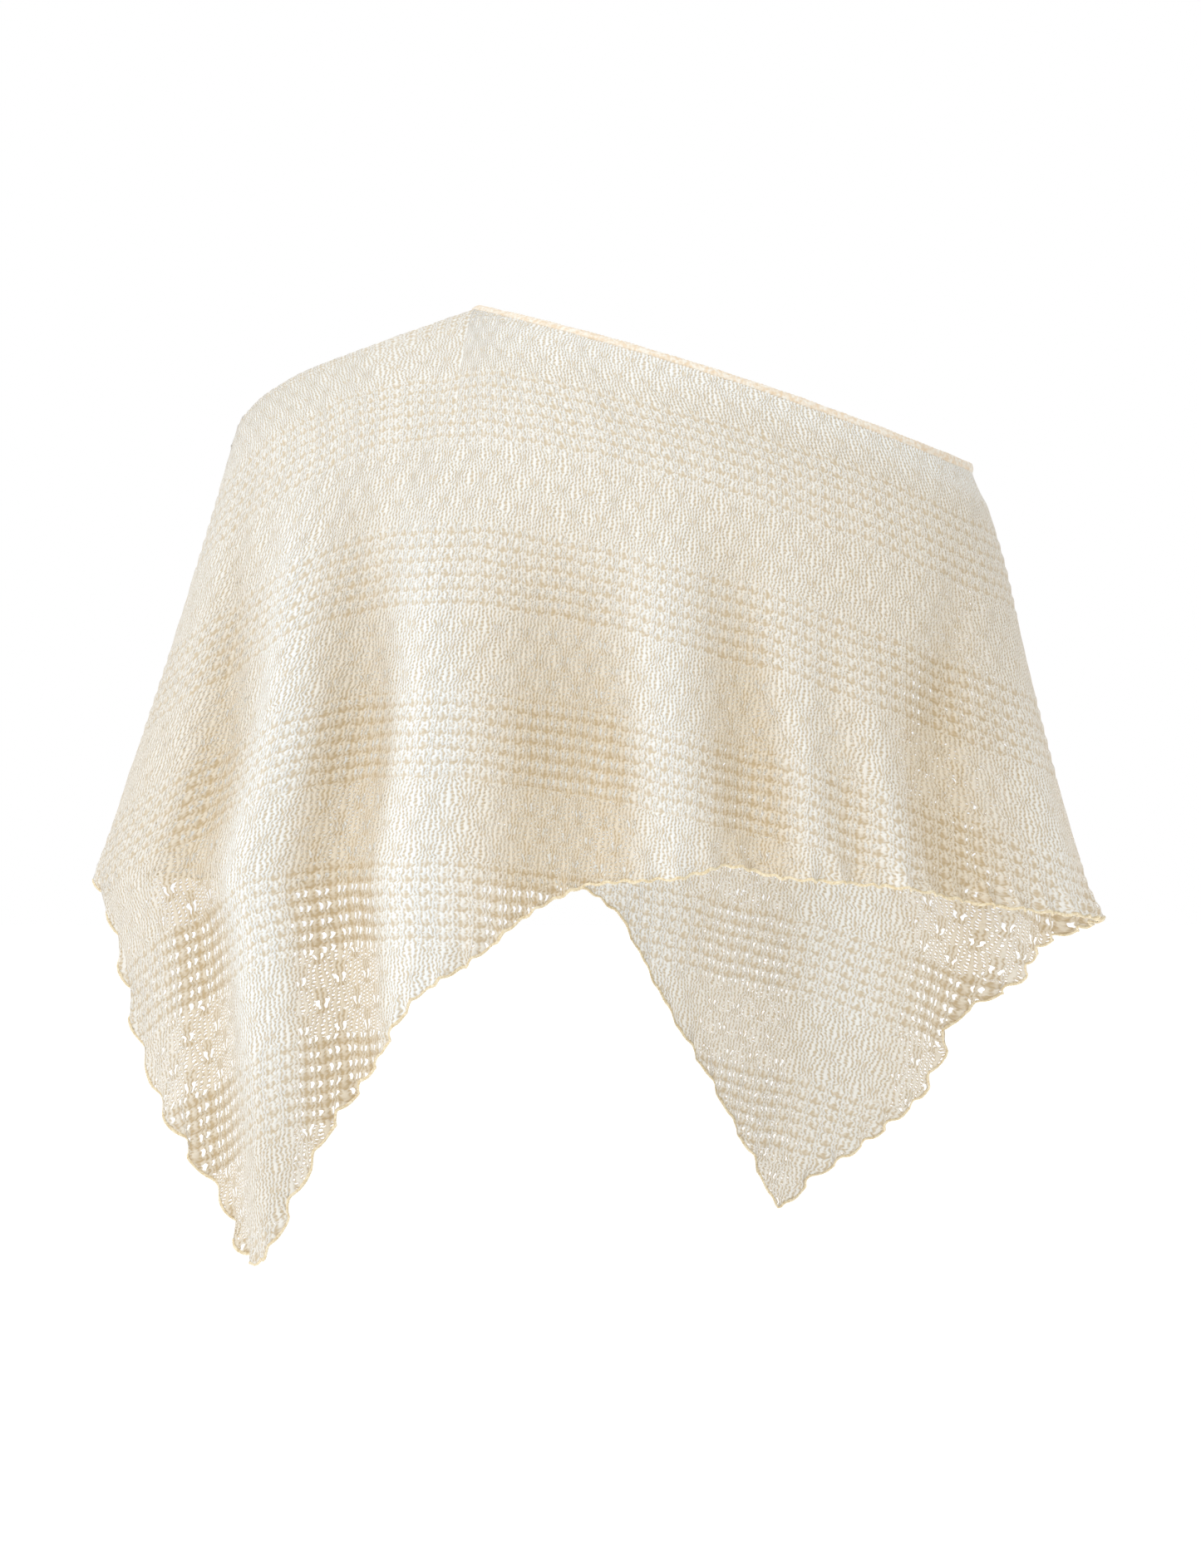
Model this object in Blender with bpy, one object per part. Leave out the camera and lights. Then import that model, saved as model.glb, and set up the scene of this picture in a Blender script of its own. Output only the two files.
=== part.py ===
"""Lace knit poncho, worn and filled out with no wearer.

Right-handed frame: X to the viewer's right, Y away from the viewer, Z up.
The origin is on the wearer's axis, level with the point where the neck edge meets the shoulder.
Lengths in the tables are millimetres and angles are degrees round the body:
180 is the viewer's left side, 270 the front, 360 (or 0) the right side and 90 the back.
"""

import math

import bmesh
import bpy
import numpy as np

MM = 0.001

# Cloth and seams
WALL = 1.6
SEAM_GAP = 0.3
NECK_EDGE_HEIGHT = 4.5
NECK_EDGE_THICKNESS = 2.8
HEM_EDGE_HEIGHT = 2.2
HEM_EDGE_THICKNESS = 2.4

# Mesh of one panel: columns side to side, each one split in three near the hem
COLUMNS = 56
SPLIT = 3
YOKE_ROWS = 4
HANG_ROWS = 9
HEM_BAND = 24.0
HEM_BAND_ROWS = 2

# Neck opening seen from above, and the line of its front edge seen from the front
PEAK_ANGLE = 249.0
NECK_LEFT = -76.0
NECK_RIGHT = 224.0
NECK_HALF_DEPTH = 92.0
NECK_LINE_SLOPE = 0.235
NECK_LINE_BEND = 0.0003
NECK_SAG = 6.0
NECK_SPREAD = 0.75
NECK_SPREAD_BEND = 0.66

# Slope of the cloth as it leaves the neck opening, from the shoulder peak to the arm
NECK_SLOPES = (
    # share of the opening, degrees down
    (0.0, 24.0),
    (0.25, 42.0),
    (0.6, 60.0),
    (1.0, 82.0),
)

# Direction of the cloth as it leaves the shoulder seam, and how soon it turns to the neck's
SEAM_LEAN = (-0.10, 0.0, -0.12)
SEAM_TURN = 0.22
SIDE_TURN = 30.0

# Shoulder ridge on the viewer's left, from the side seam up to the neck
RIDGE = (
    # x, height
    (-222.5, -86.0),
    (-218.0, -72.0),
    (-206.0, -58.0),
    (-184.0, -43.5),
    (-142.0, -26.5),
    (-76.0, -3.0),
)

# Yoke line, where the cloth leaves the shoulders and hangs
YOKE_LEFT = -108.0
YOKE_RIGHT = -128.0
YOKE_STEP = 5.0

# Sections of the hanging cloth: how far it reaches from the axis to each side
SECTION_POWER = 2.2
SECTIONS = (
    # height, left, right, front, back
    (-60.0, 217.0, 218.0, 98.0, 98.0),
    (-95.0, 225.0, 225.5, 113.0, 112.0),
    (-160.0, 244.0, 244.5, 131.0, 127.0),
    (-210.0, 259.5, 255.5, 141.0, 134.0),
    (-260.0, 276.0, 268.0, 150.0, 141.0),
    (-305.0, 291.0, 280.0, 157.0, 147.0),
    (-345.0, 302.0, 292.0, 163.0, 152.0),
    (-375.0, 294.0, 300.0, 166.0, 155.0),
    (-450.0, 287.0, 297.0, 172.0, 161.0),
    (-580.0, 276.0, 289.0, 180.0, 168.0),
)

# Hem of the front panel, from the left side seam to the right one
FRONT_HEM = (
    # angle, height
    (180.0, -345.0),
    (186.0, -362.0),
    (192.0, -391.0),
    (197.0, -427.0),
    (202.0, -459.0),
    (209.0, -493.0),
    (215.5, -527.0),
    (220.0, -550.0),
    (223.0, -562.0),
    (226.5, -567.0),
    (229.5, -563.0),
    (231.8, -549.0),
    (234.0, -525.0),
    (238.8, -482.0),
    (245.8, -446.0),
    (251.9, -410.0),
    (257.7, -390.0),
    (264.1, -362.0),
    (270.0, -347.0),
    (277.0, -344.0),
    (283.0, -337.0),
    (289.0, -344.0),
    (297.0, -347.0),
    (306.0, -351.0),
    (318.0, -360.0),
    (333.0, -366.0),
    (360.0, -371.0),
)

# Hem of the back panel, from the right side seam to the left one
BACK_HEM = (
    # angle, height
    (0.0, -371.0),
    (14.0, -379.0),
    (25.0, -391.0),
    (34.5, -415.0),
    (42.0, -434.0),
    (46.5, -474.0),
    (51.0, -492.0),
    (60.0, -521.0),
    (65.5, -539.0),
    (69.0, -555.0),
    (72.0, -527.0),
    (75.3, -498.0),
    (78.3, -472.0),
    (82.0, -441.0),
    (85.9, -400.0),
    (88.5, -371.0),
    (92.0, -355.0),
    (105.0, -350.0),
    (125.0, -352.0),
    (150.0, -347.0),
    (180.0, -345.0),
)

# Folds: ridges have a height above zero and troughs one below it
FOLDS = (
    # angle at its top, angle at the hem, half width, height, starts at, full at
    (204.0, 217.0, 5.2, -13.0, -75.0, -300.0),
    (220.5, 230.0, 4.0, 15.0, -70.0, -280.0),
    (233.5, 241.0, 5.0, -19.0, -80.0, -290.0),
    (244.5, 250.5, 4.2, 14.0, -85.0, -270.0),
    (262.5, 268.0, 6.5, -18.0, -95.0, -290.0),
    (277.5, 275.0, 4.8, 10.0, -95.0, -280.0),
    (285.5, 286.5, 4.4, -12.0, -100.0, -290.0),
    (293.5, 292.5, 4.4, 5.5, -110.0, -290.0),
    (298.5, 298.0, 3.6, -4.0, -180.0, -310.0),
    (301.5, 304.0, 3.4, 5.0, -170.0, -310.0),
    (334.0, 314.0, 6.0, -7.5, -100.0, -290.0),
    (345.0, 336.0, 8.0, 6.0, -150.0, -330.0),
    (30.0, 21.0, 6.0, -9.0, -130.0, -330.0),
    (36.0, 33.5, 4.0, 8.0, -130.0, -320.0),
    (47.0, 44.0, 4.6, -13.0, -150.0, -340.0),
    (58.0, 61.0, 5.0, 12.0, -120.0, -340.0),
    (76.0, 74.0, 4.6, -15.0, -140.0, -340.0),
    (89.0, 88.0, 5.0, 10.0, -130.0, -320.0),
    (102.0, 104.0, 5.4, -12.0, -150.0, -320.0),
    (114.0, 118.0, 4.4, 9.0, -130.0, -310.0),
    (129.0, 131.0, 5.0, -11.0, -140.0, -320.0),
    (140.0, 145.0, 5.0, 8.0, -150.0, -310.0),
    (158.0, 160.0, 5.0, -7.0, -160.0, -320.0),
)

# Small scallops along the stretched hem, each one four mesh columns wide
WAVE_COLUMNS = 4
WAVE_OUT = 2.8
WAVE_DROP = 1.6
WAVE_GROWTH = 1.5

# How the mesh columns are shared out: run down the cloth, weight
COLUMN_WEIGHTS = ((0.0, 0.3), (1.0, 0.2), (2.0, 0.5))

# Outline of the edging, as shares of its half thickness and its height
EDGING = (
    # across the wall, away from the edge
    (-0.7, 0.0),
    (0.7, 0.0),
    (1.0, 0.5),
    (0.6, 1.0),
    (-0.6, 1.0),
    (-1.0, 0.5),
)

LACE_COLOUR = (0.80, 0.75, 0.64)
HEM_COLOUR = (0.72, 0.60, 0.42)
NECK_COLOUR = (0.72, 0.58, 0.42)
LACE_ROUGHNESS = 0.9
EDGE_ROUGHNESS = 0.85
SHARP_ANGLE = 50.0


def smooth_step(value):
    """0 below 0, 1 above 1 and a smooth rise between."""
    held = np.clip(value, 0.0, 1.0)
    return held * held * (3.0 - 2.0 * held)


def smooth_table(at, stations, values):
    """Values between a table's stations, on a curve without overshoot."""
    stations = np.asarray(stations, float)
    values = np.asarray(values, float)
    steps = np.diff(stations)
    rises = np.diff(values) / steps
    slopes = np.empty_like(values)
    slopes[0] = rises[0]
    slopes[-1] = rises[-1]
    same_way = rises[:-1] * rises[1:] > 0.0
    harmonic = 2.0 * rises[:-1] * rises[1:] / np.where(same_way, rises[:-1] + rises[1:], 1.0)
    slopes[1:-1] = np.where(same_way, harmonic, 0.0)
    at = np.clip(np.asarray(at, float), stations[0], stations[-1])
    index = np.clip(np.searchsorted(stations, at, side="right") - 1, 0, len(steps) - 1)
    step = steps[index]
    along = (at - stations[index]) / step
    start = values[index] * (1 + 2 * along) * (1 - along) ** 2
    end = values[index + 1] * along**2 * (3 - 2 * along)
    leave = slopes[index] * step * along * (1 - along) ** 2
    arrive = slopes[index + 1] * step * along**2 * (along - 1)
    return start + end + leave + arrive


SECTION_TABLE = np.array(SECTIONS[::-1])
RIDGE_TABLE = np.array(RIDGE)
NECK_SLOPE_TABLE = np.array(NECK_SLOPES)
FRONT_HEM_TABLE = np.array(FRONT_HEM)
BACK_HEM_TABLE = np.array(BACK_HEM)


def wrap(angle):
    """The same direction as an angle from 0 up to 360."""
    return np.mod(angle, 360.0)


def is_front(angle):
    return wrap(angle) > 180.0


def hem_height(angle):
    """Height of the hem line, without its scallops."""
    turn = wrap(angle)
    front = smooth_table(turn, FRONT_HEM_TABLE[:, 0], FRONT_HEM_TABLE[:, 1])
    back = smooth_table(turn, BACK_HEM_TABLE[:, 0], BACK_HEM_TABLE[:, 1])
    return np.where(turn > 180.0, front, back)


def fold_height(angle, height):
    """How far the folds push the cloth out of its smooth section."""
    turn = wrap(angle)
    total = np.zeros(np.broadcast(turn, height).shape)
    for top, low, half_width, rise, starts, full in FOLDS:
        grown = smooth_step((starts - height) / (starts - full))
        centre = top + (low - top) * grown
        off = (turn - centre + 180.0) % 360.0 - 180.0
        total = total + rise * grown * np.exp(-((off / half_width) ** 2))
    return total


def hanging_point(angle, height):
    """A point of the hanging cloth at this angle and height."""
    turn = np.radians(angle)
    cosine = np.cos(turn)
    sine = np.sin(turn)
    power = 2.0 / SECTION_POWER
    across = np.sign(cosine) * np.abs(cosine) ** power
    along = np.sign(sine) * np.abs(sine) ** power
    heights = SECTION_TABLE[:, 0]
    left, right, front, back = (
        smooth_table(height, heights, SECTION_TABLE[:, column]) for column in (1, 2, 3, 4)
    )
    side_share = smooth_step(0.5 + 0.5 * across)
    half_width = left * (1.0 - side_share) + right * side_share
    depth_share = smooth_step(0.5 + 0.5 * along)
    half_depth = front * (1.0 - depth_share) + back * depth_share
    out_x = np.sign(across) * np.abs(across) ** (SECTION_POWER - 1.0) / half_width
    out_y = np.sign(along) * np.abs(along) ** (SECTION_POWER - 1.0) / half_depth
    out_length = np.hypot(out_x, out_y)
    push = fold_height(angle, height)
    x = half_width * across + push * out_x / out_length
    y = half_depth * along + push * out_y / out_length
    return np.stack(np.broadcast_arrays(x, y, height), axis=-1)


def front_angle(angle):
    """The front angle that a back one mirrors."""
    turn = wrap(angle)
    mirrored = np.where(turn <= 180.0, 360.0 - turn, turn)
    return np.where(turn == 0.0, 360.0, mirrored)


def neck_share(angle):
    """0 at the shoulder peak and 1 at the arm, along the neck opening."""
    return np.clip((front_angle(angle) - PEAK_ANGLE) / (360.0 - PEAK_ANGLE), 0.0, 1.0)


def neck_turn(angle):
    """Angle round the neck opening, from 180 at the peak to 360 at the arm, in radians."""
    share = neck_share(angle)
    spread = NECK_SPREAD * share**NECK_SPREAD_BEND + (1.0 - NECK_SPREAD) * share
    return np.pi * (1.0 + spread)


def top_point(angle):
    """The panel's top edge: the shoulder seam up to the neck, then the neck opening."""
    angle = np.asarray(angle, float)
    side = np.where(is_front(angle) | (wrap(angle) == 0.0), -1.0, 1.0)
    front = front_angle(angle)
    seam_share = np.clip((front - 180.0) / (PEAK_ANGLE - 180.0), 0.0, 1.0)
    steps = np.linspace(0.0, 1.0, len(RIDGE))
    ridge_x = smooth_table(seam_share, steps, RIDGE_TABLE[:, 0])
    ridge_z = smooth_table(seam_share, steps, RIDGE_TABLE[:, 1])
    turn = neck_turn(angle)
    middle = 0.5 * (NECK_LEFT + NECK_RIGHT)
    reach = 0.5 * (NECK_RIGHT - NECK_LEFT)
    neck_x = middle + reach * np.cos(turn)
    bulge = -np.sin(turn)
    neck_y = side * NECK_HALF_DEPTH * bulge
    run = neck_x - NECK_LEFT
    line_z = RIDGE[-1][1] - NECK_LINE_SLOPE * run - NECK_LINE_BEND * run**2
    neck_z = line_z - NECK_SAG * bulge
    on_seam = front < PEAK_ANGLE
    x = np.where(on_seam, ridge_x, neck_x)
    y = np.where(on_seam, 0.0, neck_y)
    z = np.where(on_seam, ridge_z, neck_z)
    return np.stack((x, y, z), axis=-1)


def outward_slope(angle):
    """Direction in which the cloth leaves the neck opening."""
    angle = np.asarray(angle, float)
    side = np.where(is_front(angle) | (wrap(angle) == 0.0), -1.0, 1.0)
    turn = neck_turn(angle)
    reach = 0.5 * (NECK_RIGHT - NECK_LEFT)
    across = np.cos(turn) / reach
    along = side * -np.sin(turn) / NECK_HALF_DEPTH
    length = np.hypot(across, along)
    share = neck_share(angle)
    steep = np.radians(smooth_table(share, NECK_SLOPE_TABLE[:, 0], NECK_SLOPE_TABLE[:, 1]))
    flat = np.cos(steep)
    return np.stack((flat * across / length, flat * along / length, -np.sin(steep)), axis=-1)


def yoke_height(angle):
    share = neck_share(angle)
    return YOKE_LEFT + (YOKE_RIGHT - YOKE_LEFT) * smooth_step(share)


def cloth_point(angle, run):
    """The cloth at an angle round the body and a run down it.

    The run is 0 at the top edge, 1 at the yoke line and 2 at the hem."""
    angle, run = np.broadcast_arrays(np.asarray(angle, float), np.asarray(run, float))
    top = top_point(angle)
    yoke_z = yoke_height(angle)
    yoke = hanging_point(angle, yoke_z)
    below = hanging_point(angle, yoke_z - YOKE_STEP)
    fall = (below - yoke) / YOKE_STEP
    span = np.linalg.norm(yoke - top, axis=-1, keepdims=True)
    side = np.where(is_front(angle) | (wrap(angle) == 0.0), -1.0, 1.0)[..., None]
    over = side * np.array((0.0, 1.0, 0.0)) + np.array(SEAM_LEAN)
    over = over / np.linalg.norm(over, axis=-1, keepdims=True)
    on_neck = smooth_step(neck_share(angle) / SEAM_TURN)[..., None]
    leave = over * (1.0 - on_neck) + outward_slope(angle) * on_neck
    seam_share = ((front_angle(angle) - 180.0) / SIDE_TURN)[..., None]
    leave = leave * smooth_step(seam_share) + fall * (1.0 - smooth_step(seam_share))
    t = np.clip(run, 0.0, 1.0)[..., None]
    yoke_part = (
        top * (1 + 2 * t) * (1 - t) ** 2
        + yoke * t**2 * (3 - 2 * t)
        + leave * span * t * (1 - t) ** 2
        + fall * span * t**2 * (t - 1)
    )
    hem_z = hem_height(angle)
    low = np.clip(run - 1.0, 0.0, 1.0)
    hang_part = hanging_point(angle, yoke_z + (hem_z - yoke_z) * low)
    return np.where((run <= 1.0)[..., None], yoke_part, hang_part)


def even_angles(first, last, count):
    """Angles that share out the top edge, the yoke line and the hem evenly."""
    fine = np.linspace(first, last, 1441)
    measure = np.zeros_like(fine)
    for run, weight in COLUMN_WEIGHTS:
        points = cloth_point(fine, run)
        lengths = np.linalg.norm(np.diff(points, axis=0), axis=1)
        travelled = np.concatenate(((0.0,), np.cumsum(lengths)))
        measure += weight * travelled / travelled[-1]
    return np.interp(np.linspace(0.0, 1.0, count + 1), measure, fine)


def panel_rows(first, last):
    """Rows of outer points from the top edge to the hem, the last ones three times as fine."""
    coarse = even_angles(first, last, COLUMNS)
    parts = np.arange(COLUMNS * SPLIT + 1) / SPLIT
    fine = np.interp(parts, np.arange(COLUMNS + 1), coarse)
    yoke_z = yoke_height(coarse)
    band_run = 2.0 - HEM_BAND / (yoke_z - hem_height(coarse))
    rows = [cloth_point(coarse, step / YOKE_ROWS) for step in range(YOKE_ROWS)]
    for step in range(HANG_ROWS + 1):
        rows.append(cloth_point(coarse, 1.0 + (band_run - 1.0) * step / HANG_ROWS))
    fine_band = np.interp(parts, np.arange(COLUMNS + 1), band_run)
    for step in range(1, HEM_BAND_ROWS + 1):
        share = step / HEM_BAND_ROWS
        points = cloth_point(fine, fine_band + (2.0 - fine_band) * share)
        rows.append(points + scallops(fine) * share**WAVE_GROWTH)
    return rows


def scallops(angles):
    """Offsets of the hem's points out of the cloth and up, one wave every few columns."""
    count = len(angles)
    phase = np.arange(count) * 2.0 * np.pi / WAVE_COLUMNS
    outward = hanging_point(angles, hem_height(angles)) * (1.0, 1.0, 0.0)
    outward = outward / np.linalg.norm(outward, axis=1, keepdims=True)
    inside = np.ones(count)
    inside[[0, -1]] = 0.0
    wave = np.sin(phase) * WAVE_OUT * inside
    lift = (0.5 - 0.5 * np.cos(2.0 * phase)) * WAVE_DROP * inside
    return outward * wave[:, None] + lift[:, None] * (0.0, 0.0, 1.0)


def row_faces(rows_starts, rows_lengths):
    """Quads between rows of equal length, and fans where a row becomes three times as fine."""
    faces = []
    for start, length, below, below_length in zip(
        rows_starts, rows_lengths, rows_starts[1:], rows_lengths[1:]
    ):
        if length == below_length:
            for column in range(length - 1):
                faces.append((start + column, below + column, below + column + 1, start + column + 1))
            continue
        for column in range(length - 1):
            upper = start + column
            lower = below + column * SPLIT
            faces.append((upper, lower, lower + 1))
            faces.append((upper, lower + 1, lower + 2, upper + 1))
            faces.append((upper + 1, lower + 2, lower + 3))
    return faces


def vertex_normals(points, faces):
    """Mean direction of the faces round each point."""
    normals = np.zeros_like(points)
    for face in faces:
        corners = points[list(face)]
        across = corners[2] - corners[0]
        along = corners[-1] - corners[1]
        direction = np.cross(across, along)
        for index in face:
            normals[index] += direction
    return normals / np.linalg.norm(normals, axis=1, keepdims=True)


def build_object(name, points, faces, colour, roughness):
    """A closed object from points in millimetres, with a material of its own."""
    mesh = bpy.data.meshes.new(name)
    mesh.from_pydata([tuple(point * MM) for point in points], [], [tuple(face) for face in faces])
    shape = bmesh.new()
    shape.from_mesh(mesh)
    bmesh.ops.recalc_face_normals(shape, faces=shape.faces)
    if shape.calc_volume(signed=True) < 0.0:
        bmesh.ops.reverse_faces(shape, faces=shape.faces)
    bmesh.ops.triangulate(shape, faces=shape.faces)
    shape.to_mesh(mesh)
    shape.free()
    mesh.shade_smooth()
    mesh.set_sharp_from_angle(angle=math.radians(SHARP_ANGLE))
    material = bpy.data.materials.new(name + "_yarn")
    material.use_nodes = True
    shader = material.node_tree.nodes["Principled BSDF"]
    shader.inputs["Base Color"].default_value = (*colour, 1.0)
    shader.inputs["Roughness"].default_value = roughness
    shader.inputs["Metallic"].default_value = 0.0
    mesh.materials.append(material)
    built = bpy.data.objects.new(name, mesh)
    bpy.context.scene.collection.objects.link(built)
    return built


def make_panel(name, first, last, side):
    """A wall through the panel's rows. Returns its hem points and their directions."""
    rows = panel_rows(first, last)
    lengths = [len(row) for row in rows]
    starts = list(np.cumsum([0] + lengths[:-1]))
    outer = np.concatenate(rows)
    faces = row_faces(starts, lengths)
    normals = vertex_normals(outer, faces)
    if np.mean(np.sum(normals * (outer * (1.0, 1.0, 0.0)), axis=1)) < 0.0:
        normals = -normals
    seam = starts + [start + length - 1 for start, length in zip(starts, lengths)]
    top_angles = even_angles(first, last, COLUMNS)
    seam += [column for column in range(lengths[0]) if front_angle(top_angles[column]) <= PEAK_ANGLE]
    for index in seam:
        normals[index, 1] = 0.0
        normals[index] /= np.linalg.norm(normals[index])
    gap = side * 0.5 * SEAM_GAP
    inner = outer - normals * WALL
    outer[:, 1] += gap
    inner[:, 1] += gap
    outer[seam, 1] = gap
    inner[seam, 1] = gap
    count = len(outer)
    walls = faces + [tuple(index + count for index in reversed(face)) for face in faces]
    border = panel_border(starts, lengths)
    for here, there in zip(border, border[1:] + border[:1]):
        walls.append((here, there, there + count, here + count))
    build_object(name, np.concatenate((outer, inner)), walls, LACE_COLOUR, LACE_ROUGHNESS)
    hem = slice(starts[-1], count)
    middle = 0.5 * (outer + inner)
    return middle[hem], normals[hem], middle[: lengths[0]], top_angles


def panel_border(starts, lengths):
    """The panel's outline as one loop of point numbers."""
    top = list(range(lengths[0]))
    right = [start + length - 1 for start, length in zip(starts, lengths)][1:]
    bottom = list(range(starts[-1] + lengths[-1] - 2, starts[-1] - 1, -1))
    left = list(starts[-2:0:-1])
    return top + right + bottom + left


def make_strip(name, base, outward, away, height, thickness, closed, colour):
    """A narrow edging along a panel's edge: base points, wall direction and edge direction."""
    half = 0.5 * thickness
    rings = [
        base + outward * across * half + away * (SEAM_GAP + rise * height)
        for across, rise in EDGING
    ]
    sides = len(EDGING)
    count = len(base)
    points = np.stack(rings, axis=1).reshape(-1, 3)
    faces = []
    spans = count if closed else count - 1
    for column in range(spans):
        following = (column + 1) % count
        for corner in range(sides):
            other = (corner + 1) % sides
            faces.append(
                (
                    column * sides + corner,
                    column * sides + other,
                    following * sides + other,
                    following * sides + corner,
                )
            )
    if not closed:
        faces.append(tuple(range(sides)))
        faces.append(tuple((count - 1) * sides + corner for corner in reversed(range(sides))))
    build_object(name, points, faces, colour, EDGE_ROUGHNESS)


def edge_away(points, normals):
    """Direction in the cloth square to an edge and away from the panel, here mostly down."""
    along = np.gradient(points, axis=0)
    along /= np.linalg.norm(along, axis=1, keepdims=True)
    away = np.cross(normals, along)
    away /= np.linalg.norm(away, axis=1, keepdims=True)
    flip = np.where(np.mean(away[:, 2]) > 0.0, -1.0, 1.0)
    away = away * flip
    for end in (0, -1):
        away[end, 1] = 0.0
        away[end] /= np.linalg.norm(away[end])
    return away


def make_hem_edge(name, hem, normals):
    away = edge_away(hem, normals)
    make_strip(name, hem, normals, away, HEM_EDGE_HEIGHT, HEM_EDGE_THICKNESS, False, HEM_COLOUR)


def make_neck_edge(front_top, front_angles, back_top, back_angles):
    """One turned strip round the neck opening, on the top edge of both panels."""
    on_front = front_angles >= PEAK_ANGLE
    on_back = (front_angle(back_angles) > PEAK_ANGLE) & (back_angles > 0.0)
    base = np.concatenate((front_top[on_front], back_top[on_back]))
    turns = np.concatenate((front_angles[on_front], back_angles[on_back]))
    away = -outward_slope(turns)
    along = np.roll(base, -1, axis=0) - np.roll(base, 1, axis=0)
    outward = np.cross(along, away)
    outward /= np.linalg.norm(outward, axis=1, keepdims=True)
    middle = np.array((0.5 * (NECK_LEFT + NECK_RIGHT), 0.0, 0.0))
    if np.mean(np.sum(outward * (base - middle) * (1.0, 1.0, 0.0), axis=1)) < 0.0:
        outward = -outward
    size = (NECK_EDGE_HEIGHT, NECK_EDGE_THICKNESS)
    make_strip("neck_edge", base, outward, away, *size, True, NECK_COLOUR)


def main():
    for old in list(bpy.data.objects):
        bpy.data.objects.remove(old, do_unlink=True)
    front = make_panel("front_panel", 180.0, 360.0, -1.0)
    back = make_panel("back_panel", 0.0, 180.0, 1.0)
    make_hem_edge("front_hem_edge", front[0], front[1])
    make_hem_edge("back_hem_edge", back[0], back[1])
    make_neck_edge(front[2], front[3], back[2], back[3])


main()
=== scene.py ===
"""Looks of the lace knit poncho: fine lace cloth, rolled neck edge and overlocked hem.

Tables and cloth functions are in millimetres, as the solids' source has them."""

import math

import bpy
import numpy as np
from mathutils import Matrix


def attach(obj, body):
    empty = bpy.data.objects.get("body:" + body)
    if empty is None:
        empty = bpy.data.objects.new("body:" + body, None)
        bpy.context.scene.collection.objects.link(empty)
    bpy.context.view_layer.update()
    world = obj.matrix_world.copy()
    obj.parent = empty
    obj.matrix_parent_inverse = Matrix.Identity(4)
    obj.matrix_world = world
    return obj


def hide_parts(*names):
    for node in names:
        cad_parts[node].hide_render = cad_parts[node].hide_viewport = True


MM = 0.001

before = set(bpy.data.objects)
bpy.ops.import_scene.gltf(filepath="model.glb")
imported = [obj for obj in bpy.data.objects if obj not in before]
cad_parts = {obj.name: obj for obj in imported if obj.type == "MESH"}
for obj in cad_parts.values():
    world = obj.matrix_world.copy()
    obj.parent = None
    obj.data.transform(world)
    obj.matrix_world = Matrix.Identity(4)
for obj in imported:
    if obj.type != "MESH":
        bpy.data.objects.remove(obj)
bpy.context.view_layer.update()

# Photograph: its height in pixels, the size of a pixel at the wearer's axis, and the view
PHOTO_HEIGHT = 1886
PIXEL = 0.5
CAMERA_DISTANCE = 3500.0
CAMERA_HEIGHT = -289.5

# Cloth
WALL = 1.6
SEAM_GAP = 0.3
CLOTH_COLUMNS = 448
CLOTH_ROWS = 204
YOKE_ROWS = 0.22

# Neck opening seen from above, and the line of its front edge seen from the front
PEAK_ANGLE = 249.0
NECK_LEFT = -76.0
NECK_RIGHT = 224.0
NECK_HALF_DEPTH = 92.0
NECK_LINE_SLOPE = 0.235
NECK_LINE_BEND = 0.0003
NECK_SAG = 6.0
NECK_SPREAD = 0.75
NECK_SPREAD_BEND = 0.66

# Slope of the cloth as it leaves the neck opening, from the shoulder peak to the arm
NECK_SLOPES = (
    # share of the opening, degrees down
    (0.0, 24.0),
    (0.25, 42.0),
    (0.6, 60.0),
    (1.0, 82.0),
)

# Direction of the cloth as it leaves the shoulder seam, and how soon it turns to the neck's
SEAM_LEAN = (-0.10, 0.0, -0.12)
SEAM_TURN = 0.22
SIDE_TURN = 30.0

# Shoulder ridge on the viewer's left, from the side seam up to the neck
RIDGE = (
    # x, height
    (-222.5, -86.0),
    (-218.0, -72.0),
    (-206.0, -58.0),
    (-184.0, -43.5),
    (-142.0, -26.5),
    (-76.0, -3.0),
)

# Yoke line, where the cloth leaves the shoulders and hangs
YOKE_LEFT = -108.0
YOKE_RIGHT = -128.0
YOKE_STEP = 5.0

# Sections of the hanging cloth: how far it reaches from the axis to each side
SECTION_POWER = 2.2
SECTIONS = (
    # height, left, right, front, back
    (-60.0, 217.0, 218.0, 98.0, 98.0),
    (-95.0, 225.0, 225.5, 113.0, 112.0),
    (-160.0, 244.0, 244.5, 131.0, 127.0),
    (-210.0, 259.5, 255.5, 141.0, 134.0),
    (-260.0, 276.0, 268.0, 150.0, 141.0),
    (-305.0, 291.0, 280.0, 157.0, 147.0),
    (-345.0, 302.0, 292.0, 163.0, 152.0),
    (-375.0, 294.0, 300.0, 166.0, 155.0),
    (-450.0, 287.0, 297.0, 172.0, 161.0),
    (-580.0, 276.0, 289.0, 180.0, 168.0),
)

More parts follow.
